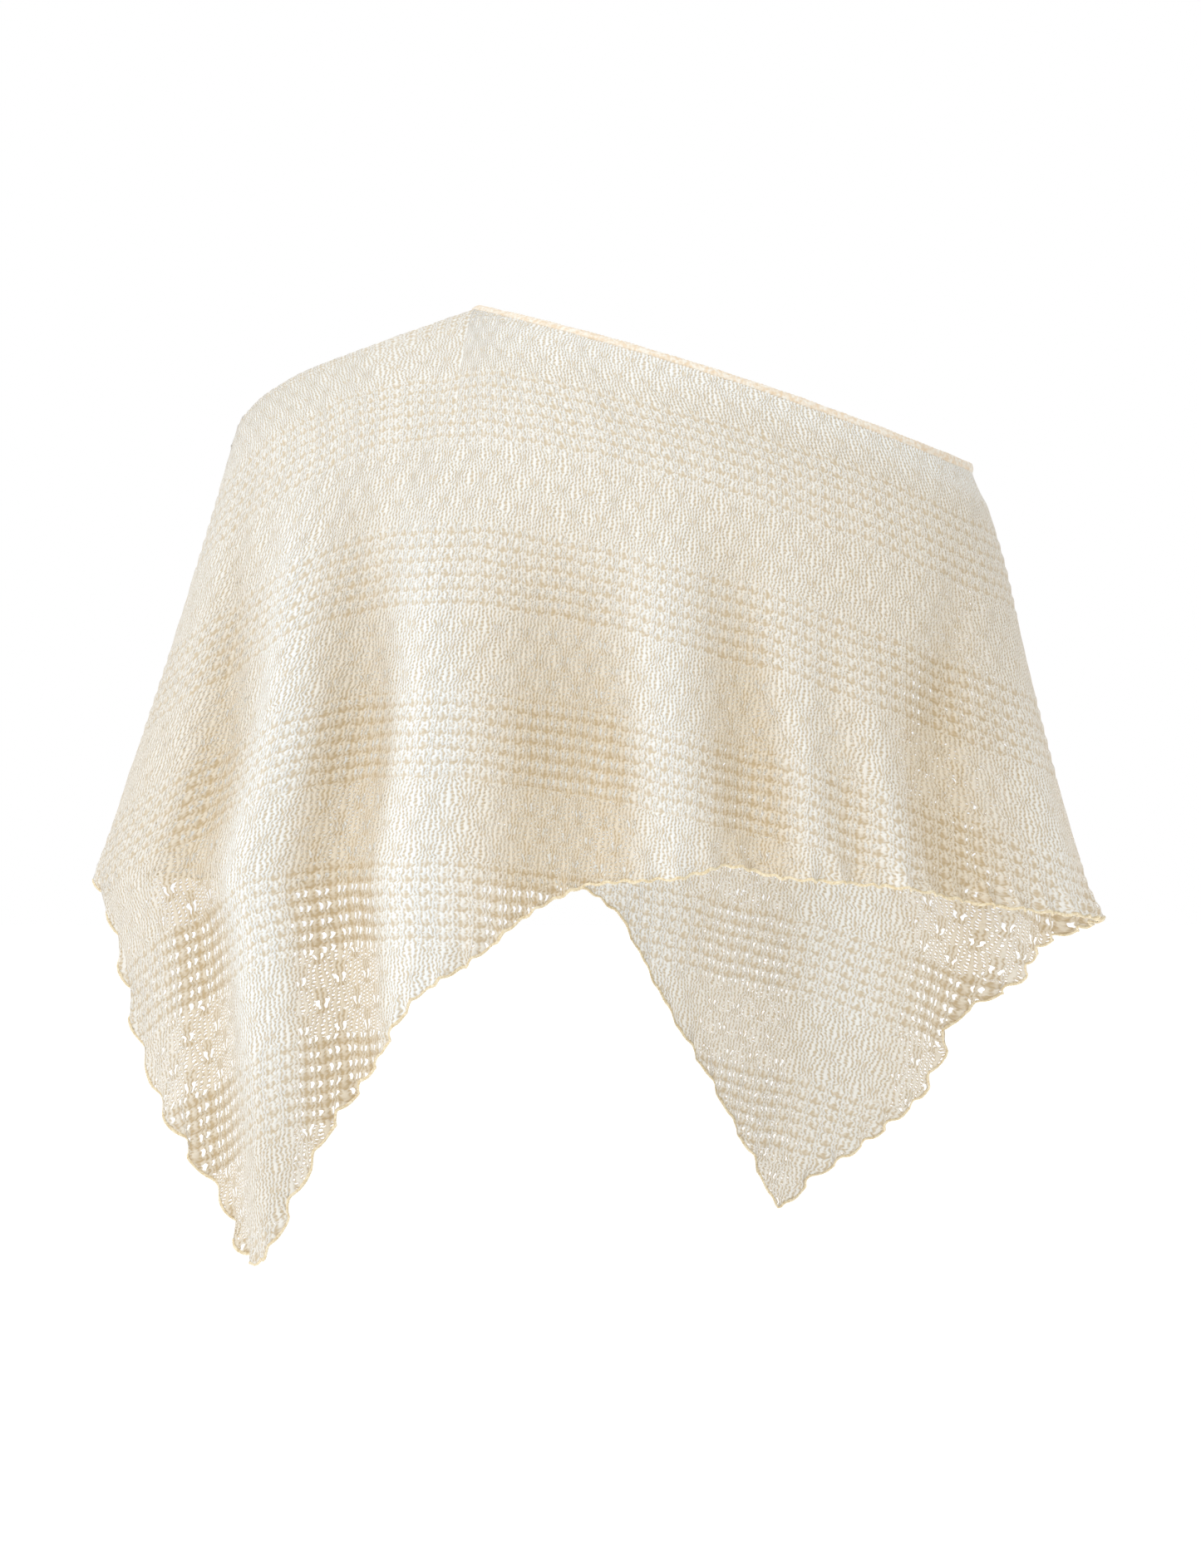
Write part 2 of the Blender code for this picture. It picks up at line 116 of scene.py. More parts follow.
# Hem of the front panel, from the left side seam to the right one
FRONT_HEM = (
    # angle, height
    (180.0, -345.0),
    (186.0, -362.0),
    (192.0, -391.0),
    (197.0, -427.0),
    (202.0, -459.0),
    (209.0, -493.0),
    (215.5, -527.0),
    (220.0, -550.0),
    (223.0, -562.0),
    (226.5, -567.0),
    (229.5, -563.0),
    (231.8, -549.0),
    (234.0, -525.0),
    (238.8, -482.0),
    (245.8, -446.0),
    (251.9, -410.0),
    (257.7, -390.0),
    (264.1, -362.0),
    (270.0, -347.0),
    (277.0, -344.0),
    (283.0, -337.0),
    (289.0, -344.0),
    (297.0, -347.0),
    (306.0, -351.0),
    (318.0, -360.0),
    (333.0, -366.0),
    (360.0, -371.0),
)

# Hem of the back panel, from the right side seam to the left one
BACK_HEM = (
    # angle, height
    (0.0, -371.0),
    (14.0, -379.0),
    (25.0, -391.0),
    (34.5, -415.0),
    (42.0, -434.0),
    (46.5, -474.0),
    (51.0, -492.0),
    (60.0, -521.0),
    (65.5, -539.0),
    (69.0, -555.0),
    (72.0, -527.0),
    (75.3, -498.0),
    (78.3, -472.0),
    (82.0, -441.0),
    (85.9, -400.0),
    (88.5, -371.0),
    (92.0, -355.0),
    (105.0, -350.0),
    (125.0, -352.0),
    (150.0, -347.0),
    (180.0, -345.0),
)

# Folds: ridges have a height above zero and troughs one below it
FOLDS = (
    # angle at its top, angle at the hem, half width, height, starts at, full at
    (204.0, 217.0, 5.2, -13.0, -75.0, -300.0),
    (220.5, 230.0, 4.0, 15.0, -70.0, -280.0),
    (233.5, 241.0, 5.0, -19.0, -80.0, -290.0),
    (244.5, 250.5, 4.2, 14.0, -85.0, -270.0),
    (262.5, 268.0, 6.5, -18.0, -95.0, -290.0),
    (277.5, 275.0, 4.8, 10.0, -95.0, -280.0),
    (285.5, 286.5, 4.4, -12.0, -100.0, -290.0),
    (293.5, 292.5, 4.4, 5.5, -110.0, -290.0),
    (298.5, 298.0, 3.6, -4.0, -180.0, -310.0),
    (301.5, 304.0, 3.4, 5.0, -170.0, -310.0),
    (334.0, 314.0, 6.0, -7.5, -100.0, -290.0),
    (345.0, 336.0, 8.0, 6.0, -150.0, -330.0),
    (30.0, 21.0, 6.0, -9.0, -130.0, -330.0),
    (36.0, 33.5, 4.0, 8.0, -130.0, -320.0),
    (47.0, 44.0, 4.6, -13.0, -150.0, -340.0),
    (58.0, 61.0, 5.0, 12.0, -120.0, -340.0),
    (76.0, 74.0, 4.6, -15.0, -140.0, -340.0),
    (89.0, 88.0, 5.0, 10.0, -130.0, -320.0),
    (102.0, 104.0, 5.4, -12.0, -150.0, -320.0),
    (114.0, 118.0, 4.4, 9.0, -130.0, -310.0),
    (129.0, 131.0, 5.0, -11.0, -140.0, -320.0),
    (140.0, 145.0, 5.0, 8.0, -150.0, -310.0),
    (158.0, 160.0, 5.0, -7.0, -160.0, -320.0),
)


def smooth_step(value):
    """0 below 0, 1 above 1 and a smooth rise between."""
    held = np.clip(value, 0.0, 1.0)
    return held * held * (3.0 - 2.0 * held)


def smooth_table(at, stations, values):
    """Values between a table's stations, on a curve without overshoot."""
    stations = np.asarray(stations, float)
    values = np.asarray(values, float)
    steps = np.diff(stations)
    rises = np.diff(values) / steps
    slopes = np.empty_like(values)
    slopes[0] = rises[0]
    slopes[-1] = rises[-1]
    same_way = rises[:-1] * rises[1:] > 0.0
    harmonic = 2.0 * rises[:-1] * rises[1:] / np.where(same_way, rises[:-1] + rises[1:], 1.0)
    slopes[1:-1] = np.where(same_way, harmonic, 0.0)
    at = np.clip(np.asarray(at, float), stations[0], stations[-1])
    index = np.clip(np.searchsorted(stations, at, side="right") - 1, 0, len(steps) - 1)
    step = steps[index]
    along = (at - stations[index]) / step
    start = values[index] * (1 + 2 * along) * (1 - along) ** 2
    end = values[index + 1] * along**2 * (3 - 2 * along)
    leave = slopes[index] * step * along * (1 - along) ** 2
    arrive = slopes[index + 1] * step * along**2 * (along - 1)
    return start + end + leave + arrive


SECTION_TABLE = np.array(SECTIONS[::-1])
RIDGE_TABLE = np.array(RIDGE)
NECK_SLOPE_TABLE = np.array(NECK_SLOPES)
FRONT_HEM_TABLE = np.array(FRONT_HEM)
BACK_HEM_TABLE = np.array(BACK_HEM)


def wrap(angle):
    """The same direction as an angle from 0 up to 360."""
    return np.mod(angle, 360.0)


def is_front(angle):
    return wrap(angle) > 180.0


def hem_height(angle):
    """Height of the hem line, without its scallops."""
    turn = wrap(angle)
    front = smooth_table(turn, FRONT_HEM_TABLE[:, 0], FRONT_HEM_TABLE[:, 1])
    back = smooth_table(turn, BACK_HEM_TABLE[:, 0], BACK_HEM_TABLE[:, 1])
    return np.where(turn > 180.0, front, back)


def fold_height(angle, height):
    """How far the folds push the cloth out of its smooth section."""
    turn = wrap(angle)
    total = np.zeros(np.broadcast(turn, height).shape)
    for top, low, half_width, rise, starts, full in FOLDS:
        grown = smooth_step((starts - height) / (starts - full))
        centre = top + (low - top) * grown
        off = (turn - centre + 180.0) % 360.0 - 180.0
        total = total + rise * grown * np.exp(-((off / half_width) ** 2))
    return total


def hanging_point(angle, height):
    """A point of the hanging cloth at this angle and height."""
    turn = np.radians(angle)
    cosine = np.cos(turn)
    sine = np.sin(turn)
    power = 2.0 / SECTION_POWER
    across = np.sign(cosine) * np.abs(cosine) ** power
    along = np.sign(sine) * np.abs(sine) ** power
    heights = SECTION_TABLE[:, 0]
    left, right, front, back = (
        smooth_table(height, heights, SECTION_TABLE[:, column]) for column in (1, 2, 3, 4)
    )
    side_share = smooth_step(0.5 + 0.5 * across)
    half_width = left * (1.0 - side_share) + right * side_share
    depth_share = smooth_step(0.5 + 0.5 * along)
    half_depth = front * (1.0 - depth_share) + back * depth_share
    out_x = np.sign(across) * np.abs(across) ** (SECTION_POWER - 1.0) / half_width
    out_y = np.sign(along) * np.abs(along) ** (SECTION_POWER - 1.0) / half_depth
    out_length = np.hypot(out_x, out_y)
    push = fold_height(angle, height)
    x = half_width * across + push * out_x / out_length
    y = half_depth * along + push * out_y / out_length
    return np.stack(np.broadcast_arrays(x, y, height), axis=-1)


def front_angle(angle):
    """The front angle that a back one mirrors."""
    turn = wrap(angle)
    mirrored = np.where(turn <= 180.0, 360.0 - turn, turn)
    return np.where(turn == 0.0, 360.0, mirrored)


def neck_share(angle):
    """0 at the shoulder peak and 1 at the arm, along the neck opening."""
    return np.clip((front_angle(angle) - PEAK_ANGLE) / (360.0 - PEAK_ANGLE), 0.0, 1.0)


def neck_turn(angle):
    """Angle round the neck opening, from 180 at the peak to 360 at the arm, in radians."""
    share = neck_share(angle)
    spread = NECK_SPREAD * share**NECK_SPREAD_BEND + (1.0 - NECK_SPREAD) * share
    return np.pi * (1.0 + spread)


def top_point(angle):
    """The panel's top edge: the shoulder seam up to the neck, then the neck opening."""
    angle = np.asarray(angle, float)
    side = np.where(is_front(angle) | (wrap(angle) == 0.0), -1.0, 1.0)
    front = front_angle(angle)
    seam_share = np.clip((front - 180.0) / (PEAK_ANGLE - 180.0), 0.0, 1.0)
    steps = np.linspace(0.0, 1.0, len(RIDGE))
    ridge_x = smooth_table(seam_share, steps, RIDGE_TABLE[:, 0])
    ridge_z = smooth_table(seam_share, steps, RIDGE_TABLE[:, 1])
    turn = neck_turn(angle)
    middle = 0.5 * (NECK_LEFT + NECK_RIGHT)
    reach = 0.5 * (NECK_RIGHT - NECK_LEFT)
    neck_x = middle + reach * np.cos(turn)
    bulge = -np.sin(turn)
    neck_y = side * NECK_HALF_DEPTH * bulge
    run = neck_x - NECK_LEFT
    line_z = RIDGE[-1][1] - NECK_LINE_SLOPE * run - NECK_LINE_BEND * run**2
    neck_z = line_z - NECK_SAG * bulge
    on_seam = front < PEAK_ANGLE
    x = np.where(on_seam, ridge_x, neck_x)
    y = np.where(on_seam, 0.0, neck_y)
    z = np.where(on_seam, ridge_z, neck_z)
    return np.stack((x, y, z), axis=-1)


def outward_slope(angle):
    """Direction in which the cloth leaves the neck opening."""
    angle = np.asarray(angle, float)
    side = np.where(is_front(angle) | (wrap(angle) == 0.0), -1.0, 1.0)
    turn = neck_turn(angle)
    reach = 0.5 * (NECK_RIGHT - NECK_LEFT)
    across = np.cos(turn) / reach
    along = side * -np.sin(turn) / NECK_HALF_DEPTH
    length = np.hypot(across, along)
    share = neck_share(angle)
    steep = np.radians(smooth_table(share, NECK_SLOPE_TABLE[:, 0], NECK_SLOPE_TABLE[:, 1]))
    flat = np.cos(steep)
    return np.stack((flat * across / length, flat * along / length, -np.sin(steep)), axis=-1)


def yoke_height(angle):
    share = neck_share(angle)
    return YOKE_LEFT + (YOKE_RIGHT - YOKE_LEFT) * smooth_step(share)


def cloth_point(angle, run):
    """The cloth at an angle round the body and a run down it.

    The run is 0 at the top edge, 1 at the yoke line and 2 at the hem."""
    angle, run = np.broadcast_arrays(np.asarray(angle, float), np.asarray(run, float))
    top = top_point(angle)
    yoke_z = yoke_height(angle)
    yoke = hanging_point(angle, yoke_z)
    below = hanging_point(angle, yoke_z - YOKE_STEP)
    fall = (below - yoke) / YOKE_STEP
    span = np.linalg.norm(yoke - top, axis=-1, keepdims=True)
    side = np.where(is_front(angle) | (wrap(angle) == 0.0), -1.0, 1.0)[..., None]
    over = side * np.array((0.0, 1.0, 0.0)) + np.array(SEAM_LEAN)
    over = over / np.linalg.norm(over, axis=-1, keepdims=True)
    on_neck = smooth_step(neck_share(angle) / SEAM_TURN)[..., None]
    leave = over * (1.0 - on_neck) + outward_slope(angle) * on_neck
    seam_share = ((front_angle(angle) - 180.0) / SIDE_TURN)[..., None]
    leave = leave * smooth_step(seam_share) + fall * (1.0 - smooth_step(seam_share))
    t = np.clip(run, 0.0, 1.0)[..., None]
    yoke_part = (
        top * (1 + 2 * t) * (1 - t) ** 2
        + yoke * t**2 * (3 - 2 * t)
        + leave * span * t * (1 - t) ** 2
        + fall * span * t**2 * (t - 1)
    )
    hem_z = hem_height(angle)
    low = np.clip(run - 1.0, 0.0, 1.0)
    hang_part = hanging_point(angle, yoke_z + (hem_z - yoke_z) * low)
    return np.where((run <= 1.0)[..., None], yoke_part, hang_part)


def even_angles(first, last, count):
    """Angles that share out the top edge, the yoke line and the hem evenly."""
    fine = np.linspace(first, last, 1441)
    measure = np.zeros_like(fine)
    for run, weight in COLUMN_WEIGHTS:
        points = cloth_point(fine, run)
        lengths = np.linalg.norm(np.diff(points, axis=0), axis=1)
        travelled = np.concatenate(((0.0,), np.cumsum(lengths)))
        measure += weight * travelled / travelled[-1]
    return np.interp(np.linspace(0.0, 1.0, count + 1), measure, fine)


# How the mesh columns are shared out: run down the cloth, weight
COLUMN_WEIGHTS = ((0.0, 0.3), (1.0, 0.2), (2.0, 0.5))

# Hem scallops, in step with the solids': 42 along each panel, 24 mm deep
HEM_WAVES = 42
WAVE_OUT = 2.8
WAVE_DROP = 1.6
HEM_BAND = 24.0
HEM_FADE = 1.5
SCALLOP_HEIGHT = -250.0

# Rows of the knit: how far each one hangs below its level at the neck, round the body
ROW_DROP = (
    # angle, drop
    (180.0, 75.0),
    (190.0, 71.0),
    (200.0, 60.0),
    (213.0, 40.0),
    (225.0, 22.5),
    (233.5, 8.0),
    (244.0, 1.0),
    (254.0, 0.0),
    (262.0, 5.0),
    (267.0, 9.0),
    (275.6, 20.0),
    (284.6, 31.0),
    (294.5, 43.0),
    (299.9, 52.0),
    (312.0, 66.0),
    (319.3, 76.0),
    (339.3, 94.0),
    (360.0, 101.0),
)

# How far the wales lean from the cloth's columns, in degrees round the body for each mm down
WALE_LEAN = (
    # angle, lean
    (180.0, 0.0),
    (258.0, 0.0),
    (275.0, 0.022),
    (300.0, 0.05),
    (330.0, 0.045),
    (360.0, 0.0),
)

# Lace repeat: a band of small close fans, then a band of large open ones
BAND_PERIOD = 98.0
BAND_START = 38.0
CLOSE_SHARE = 0.515
CLOSE_WIDTH = 9.2
CLOSE_HEIGHT = 8.4
CLOSE_PULL = 0.75
WIDE_WIDTH = 18.4
WIDE_HEIGHT = 14.4
WIDE_PULL = 1.35
WALE = 2.45
COURSE = 2.1
RELIEF = 0.8
ROW_WAVE = 0.6
BAND_EDGE = 0.02

# Height at which the wales are shared out evenly, and the depth at which they start to lean
WALE_HEIGHT = -225.0
LEAN_DEPTH = 120.0

# Opening of the knit, from 0 to 1: at a flat place, and the fold depth that opens it fully; the same share
# paints tan shade into the fold troughs
FLAT_OPENING = 0.46
OPENING_DEPTH = 19.0

# It stays closed near the neck: where it starts to open, over what length, and its least share
NECK_START = 4.0
NECK_REACH = 34.0
NECK_SHARE = 0.35

# It opens down the cloth: where that starts, over what height, and its share above
LOWER_START = 90.0
LOWER_REACH = 200.0
UPPER_SHARE = 0.45

# It opens further in the corners
CORNER_START = 400.0
CORNER_REACH = 120.0
CORNER_SHARE = 0.4

# The back panel is closer, except over the arm, where it opens further and its inside is painted in deeper
# shade
BACK_FLAT = 0.12
BACK_SHARE = 0.42
BACK_ARM_SHADE_SHARE = 0.46
BACK_ARM_START = 300.0
BACK_ARM_REACH = 24.0

# How much more the cloth is opened where it lies over the arm, which also paints tanner shade on that side,
# away from the key lamp
ARM_PULL_AND_SHADE = (
    # angle, share
    (180.0, 0.0),
    (250.0, 0.0),
    (275.0, 0.08),
    (300.0, 0.18),
    (330.0, 0.26),
    (360.0, 0.16),
)

ROW_DROP_TABLE = np.array(ROW_DROP)
ARM_PULL_AND_SHADE_TABLE = np.array(ARM_PULL_AND_SHADE)
WALE_LEAN_TABLE = np.array(WALE_LEAN)


def knit_rows(angle, run, points):
    """Distance down the knit, in mm, from the neck's level."""
    yoke_z = yoke_height(angle[0])
    drop = smooth_table(front_angle(angle[0]), ROW_DROP_TABLE[:, 0], ROW_DROP_TABLE[:, 1])
    steps = np.linalg.norm(np.diff(points, axis=0), axis=2)
    travelled = np.concatenate((np.zeros((1, points.shape[1])), np.cumsum(steps, axis=0)))
    at_yoke = np.array(
        [np.interp(1.0, run[:, column], travelled[:, column]) for column in range(run.shape[1])]
    )
    above = -yoke_z - drop + travelled - at_yoke
    below = -points[..., 2] - drop
    return np.where(run < 1.0, above, below)


def wale_places():
    """Distance round the cloth for each angle, measured along the middle of its height."""
    angles = np.linspace(0.0, 360.0, 2881)
    points = hanging_point(angles, WALE_HEIGHT)
    steps = np.linalg.norm(np.diff(points, axis=0), axis=1)
    return angles, np.concatenate(((0.0,), np.cumsum(steps)))


def knit_wales(angle, height):
    """Distance across the knit, in mm."""
    angles, places = wale_places()
    front = front_angle(angle)
    lean = smooth_table(front, WALE_LEAN_TABLE[:, 0], WALE_LEAN_TABLE[:, 1])
    side = np.where(is_front(angle), 1.0, -1.0)
    turned = angle + side * lean * (-height - LEAN_DEPTH)
    return np.interp(turned, angles, places)


def close_share(down):
    """1 in the bands of close fans and 0 in the open bands."""
    phase = np.mod((down - BAND_START) / BAND_PERIOD, 1.0)
    return smooth_step(phase / BAND_EDGE) * (1.0 - smooth_step((phase - CLOSE_SHARE) / BAND_EDGE))


def relief(across, down):
    """Height of the fans over the net, coarse enough for the mesh to carry."""
    beat = np.cos(2.0 * np.pi * across / CLOSE_WIDTH)
    close_up = np.mod((down - ROW_WAVE * beat) / CLOSE_HEIGHT, 1.0)
    close = np.sin(np.pi * close_up) ** 2 * (0.8 - 0.2 * beat)
    row = np.floor(down / WIDE_HEIGHT)
    turns = across / WIDE_WIDTH + 0.5 * np.mod(row, 2.0)
    wide_up = np.mod(down / WIDE_HEIGHT, 1.0)
    wide = 0.5 - 0.3 * np.cos(2.0 * np.pi * turns) * np.sin(np.pi * wide_up)
    share = close_share(down)
    return RELIEF * (close * share + wide * (1.0 - share) - 0.5)


def grid_normals(points):
    """Normals of a grid of points."""
    down = np.gradient(points, axis=0)
    across = np.gradient(points, axis=1)
    normals = np.cross(across, down)
    lengths = np.linalg.norm(normals, axis=2, keepdims=True)
    return normals / np.maximum(lengths, 1e-9)


def hem_scallops(angles, rows_below):
    """The stretched hem's scallops, growing towards the edge."""
    count = len(angles)
    phase = np.linspace(0.0, 2.0 * np.pi * HEM_WAVES, count)
    near = hanging_point(angles, SCALLOP_HEIGHT) * (1.0, 1.0, 0.0)
    outward = near / np.linalg.norm(near, axis=1, keepdims=True)
    swell = 1.0 + 0.3 * np.sin(0.37 * phase + 1.0) + 0.2 * np.sin(0.173 * phase)
    wave = (np.sin(phase) * WAVE_OUT * swell)[None, :, None] * outward[None]
    drop = (0.5 - 0.5 * np.cos(2.0 * phase)) * WAVE_DROP
    down = drop[None, :, None] * np.array((0.0, 0.0, 1.0))
    return (wave + down) * rows_below[..., None]


def cloth_grid(first, last, columns, rows):
    """Fine grid of a panel: its angles, its runs and its smooth points."""
    angles = even_angles(first, last, columns)
    share = np.linspace(0.0, 1.0, rows + 1)
    below = 1.0 + (share - YOKE_ROWS) / (1.0 - YOKE_ROWS)
    run = np.where(share < YOKE_ROWS, share / YOKE_ROWS, below)
    angle_grid, run_grid = np.meshgrid(angles, run)
    return angle_grid, run_grid, cloth_point(angle_grid, run_grid)


def make_mesh(name, points, faces, layers=None, attributes=None):
    mesh = bpy.data.meshes.new(name)
    mesh.from_pydata((points * MM).tolist(), [], faces.tolist())
    mesh.shade_smooth()
    if layers is not None:
        layer = mesh.uv_layers.new(name="knit")
        corners = np.empty(len(mesh.loops), dtype=np.int32)
        mesh.loops.foreach_get("vertex_index", corners)
        layer.data.foreach_set("uv", layers[corners].astype(np.float32).ravel())
    for key, values in (attributes or {}).items():
        attribute = mesh.attributes.new(name=key, type="FLOAT", domain="POINT")
        attribute.data.foreach_set("value", values.astype(np.float32).ravel())
    built = bpy.data.objects.new(name, mesh)
    bpy.context.scene.collection.objects.link(built)
    return built


def grid_faces(rows, columns):
    """Quads of a grid of points, row by row."""
    corner = (np.arange(rows - 1)[:, None] * columns + np.arange(columns - 1)).ravel()
    return np.stack((corner, corner + columns, corner + columns + 1, corner + 1), axis=1)


def opening(angle, depth, down, folds, is_back):
    """How far the knit is stretched open, from 0 to 1; the same share paints tan shade into the fold
    troughs, over the arm and inside the back panel.
    """
    front = front_angle(angle)
    # Painted shade: the deeper a fold's trough, the more open the knit and the tanner and darker its colour
    open_and_painted_shade = smooth_step(FLAT_OPENING - folds / OPENING_DEPTH)
    from_neck = smooth_step((down - NECK_START) / NECK_REACH)
    held = open_and_painted_shade * (NECK_SHARE + (1.0 - NECK_SHARE) * from_neck)
    open_and_painted_shade = np.where(front > PEAK_ANGLE, held, open_and_painted_shade)
    lower = smooth_step((depth - LOWER_START) / LOWER_REACH)
    open_and_painted_shade = open_and_painted_shade * (UPPER_SHARE + (1.0 - UPPER_SHARE) * lower)
    corner = smooth_step((depth - CORNER_START) / CORNER_REACH)
    open_and_painted_shade = open_and_painted_shade + CORNER_SHARE * corner * (1.0 - open_and_painted_shade)
    # Painted shade on the side away from the key lamp, together with the stretch over the arm
    pulled_and_shaded = smooth_table(front, ARM_PULL_AND_SHADE_TABLE[:, 0], ARM_PULL_AND_SHADE_TABLE[:, 1])
    open_and_painted_shade = np.clip(open_and_painted_shade + pulled_and_shaded * from_neck, 0.0, 1.0)
    if is_back:
        # Painted shade inside the back panel over the arm, together with more open eyelets
        over_arm = smooth_step((front - BACK_ARM_START) / BACK_ARM_REACH)
        open_and_painted_shade = BACK_FLAT + BACK_SHARE * open_and_painted_shade + BACK_ARM_SHADE_SHARE * over_arm * lower
    return open_and_painted_shade


def make_cloth(name, first, last, material):
    """A panel of lace as one thin sheet in the middle of its solid's wall."""
    angle, run, points = cloth_grid(first, last, CLOTH_COLUMNS, CLOTH_ROWS)
    length = yoke_height(angle) - hem_height(angle)
    above_hem = (2.0 - run) * length
    near_hem = np.clip(1.0 - above_hem / HEM_BAND, 0.0, 1.0)
    below = np.where(run > 1.0, near_hem**HEM_FADE, 0.0)
    down = knit_rows(angle, run, points)
    across = knit_wales(angle, points[..., 2])
    folds = fold_height(angle, points[..., 2])
    points = points + hem_scallops(angle[0], below)
    normals = grid_normals(points)
    if np.mean(np.sum(normals * (points * (1.0, 1.0, 0.0)), axis=2)) < 0.0:
        normals = -normals
    inset = -0.5 * WALL + relief(across, down)
    points = points + normals * inset[..., None]
    side = -1.0 if first == 180.0 else 1.0
    for column in (0, -1):
        points[:, column, 1] = side * 0.5 * SEAM_GAP
    open_and_painted_shade = opening(angle, -points[..., 2], down, folds, side > 0.0)
    rows, columns = angle.shape
    faces = grid_faces(rows, columns)
    if side > 0.0:
        faces = faces[:, ::-1]
    uv = np.stack((across, down), axis=-1).reshape(-1, 2)
    cloth = make_mesh(name, points.reshape(-1, 3), faces, uv, {"open_and_painted_shade": open_and_painted_shade})
    cloth.data.materials.append(material)
    return cloth, points, normals


class Nodes:
    """Short calls for a material's maths."""

    def __init__(self, material):
        material.use_nodes = True
        self.tree = material.node_tree
        self.tree.nodes.clear()

    def add(self, kind, **settings):
        node = self.tree.nodes.new(kind)
        for key, value in settings.items():
            setattr(node, key, value)
        return node

    def put(self, value, socket):
        if isinstance(value, (int, float, tuple)):
            socket.default_value = value
        else:
            self.tree.links.new(value, socket)

    def maths(self, operation, *values):
        node = self.add("ShaderNodeMath", operation=operation)
        for value, socket in zip(values, node.inputs):
            self.put(value, socket)
        return node.outputs[0]

    def ramp(self, value, low, high):
        """0 below low, 1 above high, smooth between."""
        node = self.add("ShaderNodeMapRange", interpolation_type="SMOOTHSTEP")
        self.put(value, node.inputs["Value"])
        self.put(low, node.inputs["From Min"])
        self.put(high, node.inputs["From Max"])
        return node.outputs[0]

    def mix(self, share, first, second):
        node = self.add("ShaderNodeMix", data_type="FLOAT")
        self.put(share, node.inputs[0])
        self.put(first, node.inputs[2])
        self.put(second, node.inputs[3])
        return node.outputs[0]

    def colour(self, share, first, second):
        node = self.add("ShaderNodeMix", data_type="RGBA")
        self.put(share, node.inputs[0])
        self.put(first, node.inputs[6])
        self.put(second, node.inputs[7])
        return node.outputs[2]


# Where a fan's strands are drawn together, as shares of its height
GRIP_FULL = 0.14
GRIP_START = 0.16
GRIP_END = 0.95

# A fan's two eyelets: how far each lies from the middle and how that grows with its height, its
# half width and how that grows, and the heights at which it starts, is full, fades and ends
CLOSE_EYELETS = (0.9, 0.17, 0.15, 0.13, (2.0, 3.8, 5.4, 7.2))
WIDE_EYELETS = (0.5, 0.24, 0.10, 0.14, (2.0, 4.0, 6.6, 8.6))
EYELET_CORE = 0.4
EYELET_EDGE = 1.2

# Ragged rows: how far the unevenness moves them, in mm
CLOSE_RAGGED = 2.2
WIDE_RAGGED = 2.0

# Shade between two close fans: how the fan widens with height, the shade's edge and its heights
TUFT_SPREAD = 0.62
TUFT_RAGGED = 3.0
TUFT_EDGE = 1.8
TUFT_FADE = (2.2, 5.0)
TUFT_SHADE = 0.8

# Shade line between two rows: its heights above and below, and its strength across a fan
LINE_ABOVE = (CLOSE_HEIGHT - 1.3, CLOSE_HEIGHT - 0.1)
LINE_BELOW = (0.3, 2.4)
LINE_SIDE = (0.6, 3.2)
LINE_AT_SIDE = 0.48
LINE_AT_MIDDLE = 0.56
LINE_RAGGED = 1.6
LINE_SHADE = 0.95

# Net of the open bands: the gaps that open, the place beside the fan, and the painted shade at its foot
NET_GAP = (0.34, 0.72)
NET_SIDE = (1.8, 3.8)
NET_SHARE = 0.8
FOOT_SHADE_SIDE = (0.8, 3.2)
FOOT_SHADE_RISE = (0.8, 3.4)


def fan_nodes(n, across, down, width, height, pull, staggered):
    """One kind of fan: its strands drawn together, and the place within the fan, in mm."""
    shift = 0.0
    if staggered:
        row = n.maths("FLOOR", n.maths("DIVIDE", down, height))
        shift = n.maths("MULTIPLY", n.maths("FLOORED_MODULO", row, 2.0), 0.5)
    turns = n.maths("ADD", n.maths("DIVIDE", across, width), shift)
    x = n.maths("MULTIPLY", n.maths("SUBTRACT", n.maths("FRACT", turns), 0.5), width)
    sunk = n.maths("FRACT", n.maths("DIVIDE", down, height))
    rise = n.maths("MULTIPLY", n.maths("SUBTRACT", 1.0, sunk), height)
    grip = n.maths(
        "MULTIPLY",
        n.ramp(rise, 0.0, GRIP_FULL * height),
        n.maths("SUBTRACT", 1.0, n.ramp(rise, GRIP_START * height, GRIP_END * height)),
    )
    swing = n.maths("SINE", n.maths("MULTIPLY", turns, 2.0 * math.pi))
    drawn = n.maths("SUBTRACT", across, n.maths("MULTIPLY", n.maths("MULTIPLY", swing, grip), pull))
    strand = n.maths("COSINE", n.maths("MULTIPLY", drawn, 2.0 * math.pi / WALE))
    strand = n.maths("MULTIPLY_ADD", strand, 0.5, 0.5)
    return strand, drawn, n.maths("ABSOLUTE", x), rise


def eyelet_nodes(n, side, rise, lane, lane_slope, width, width_slope, window):
    """Two drop-shaped eyelets, one each side of a fan's middle."""
    start, full, fade, end = window
    centre = n.maths("MULTIPLY_ADD", rise, lane_slope, lane)
    half = n.maths("MULTIPLY_ADD", rise, width_slope, width)
    off = n.maths("DIVIDE", n.maths("ABSOLUTE", n.maths("SUBTRACT", side, centre)), half)
    tall = n.maths(
        "MULTIPLY", n.ramp(rise, start, full), n.maths("SUBTRACT", 1.0, n.ramp(rise, fade, end))
    )
    return n.maths("MULTIPLY", n.maths("SUBTRACT", 1.0, n.ramp(off, EYELET_CORE, EYELET_EDGE)), tall)


